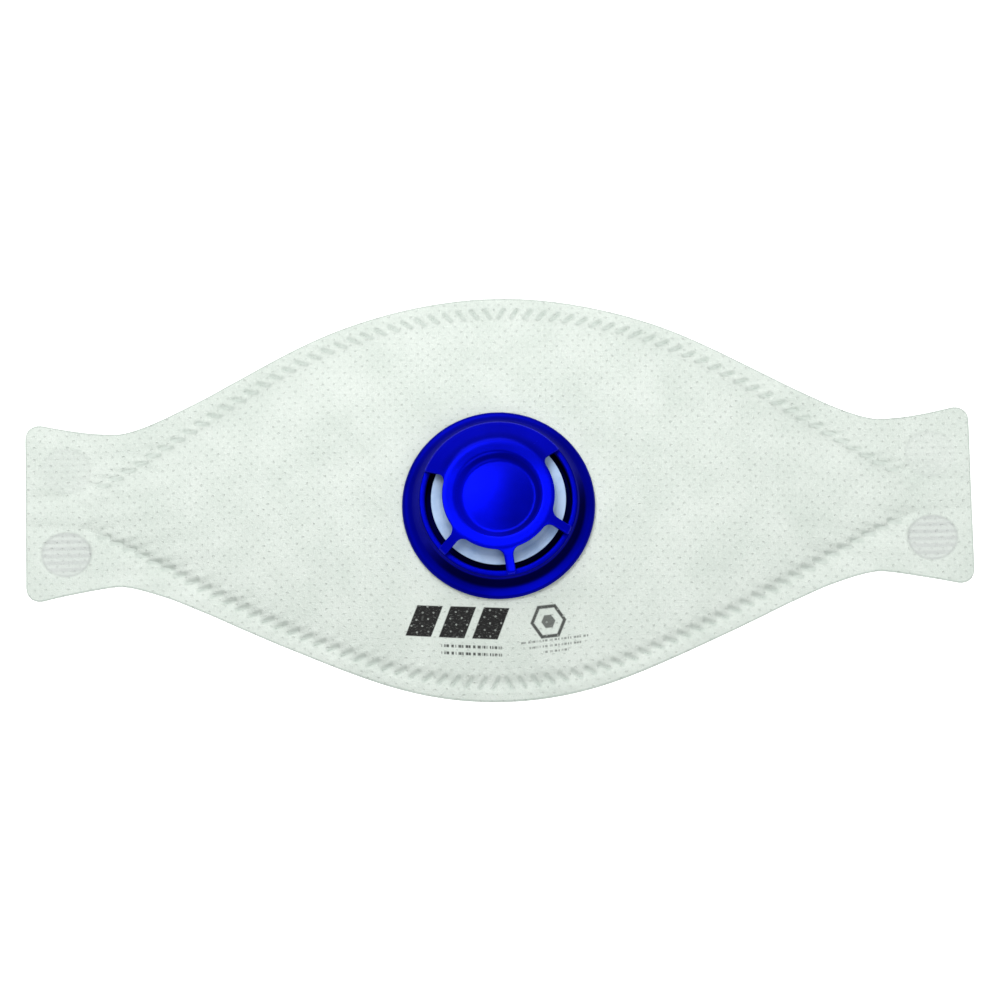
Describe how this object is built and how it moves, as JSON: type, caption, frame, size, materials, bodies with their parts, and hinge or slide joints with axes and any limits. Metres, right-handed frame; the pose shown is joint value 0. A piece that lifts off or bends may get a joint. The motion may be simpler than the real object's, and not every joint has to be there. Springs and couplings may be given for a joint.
{
  "type": "dust mask",
  "caption": "Fold-flat dust mask lying folded: domed white cloth front panel, two panels folded behind it, round blue exhalation valve, and elastic head straps across the back.",
  "frame": {"origin": "middle of the folded mask's outline, on the surface that it lies on", "axes": "+Z out of the mask's front, +X along its length, +Y toward the nose edge"},
  "size_m": [0.2088, 0.0924, 0.0201],
  "materials": {
    "cover_cloth": "white spunbond cloth with a fine pattern of bond points",
    "filter_cloth": "soft white meltblown wadding",
    "stiffener_cloth": "open stiff white non-woven",
    "lining_cloth": "smooth white non-woven",
    "nose_clip": "plain soft strip",
    "nose_foam": "open-cell foam strip",
    "elastic": "braided elastic with lengthwise ribs",
    "valve_plastic": "satin moulded ultramarine blue",
    "flap_silicone": "thin translucent silicone",
    "ring_plastic": "moulded off-white"
  },
  "bodies": {
    "mask_body": {"center_outer_cover": "cover_cloth", "center_filter": "filter_cloth", "center_stiffener": "stiffener_cloth", "center_inner_cover": "lining_cloth", "valve_base": "valve_plastic", "valve_cover": "valve_plastic", "valve_back_ring": "ring_plastic"},
    "upper_panel": {"upper_panel_outer_cover": "cover_cloth", "upper_panel_filter": "filter_cloth", "upper_panel_inner_cover": "lining_cloth", "nose_clip": "nose_clip", "nose_foam": "nose_foam"},
    "lower_panel": {"lower_panel_outer_cover": "cover_cloth", "lower_panel_filter": "filter_cloth", "lower_panel_inner_cover": "lining_cloth"},
    "upper_strap": {"upper_head_strap": "elastic"},
    "lower_strap": {"lower_head_strap": "elastic"},
    "flap": {"valve_diaphragm": "flap_silicone"}
  },
  "joints": [
    {"name": "upper_panel_fold", "type": "hinge", "parent": "mask_body", "child": "upper_panel", "pos_m": [0, 0.046, 0.00168], "axis": [1, 0, 0], "range_deg": [0, 60]},
    {"name": "lower_panel_fold", "type": "hinge", "parent": "mask_body", "child": "lower_panel", "pos_m": [0, -0.046, 0.00168], "axis": [-1, 0, 0], "range_deg": [0, 60]},
    {"name": "upper_strap_pull", "type": "slide", "parent": "mask_body", "child": "upper_strap", "axis": [0, 0, -1], "range_m": [0, 0.12], "stiffness_N_per_m": 2},
    {"name": "lower_strap_pull", "type": "slide", "parent": "mask_body", "child": "lower_strap", "axis": [0, 0, -1], "range_m": [0, 0.12], "stiffness_N_per_m": 2},
    {"name": "flap_lift", "type": "hinge", "parent": "mask_body", "child": "flap", "pos_m": [-0.00175, 0.00838, 0.0158], "axis": [-0.9895, -0.1444, 0], "range_deg": [0, 3.5], "stiffness_Nm_per_rad": 0.002}
  ],
  "couplings": [
    {"joint": "upper_strap_pull", "follows": "upper_panel_fold", "m_per_rad": 0.1145},
    {"joint": "lower_strap_pull", "follows": "lower_panel_fold", "m_per_rad": 0.1145}
  ]
}
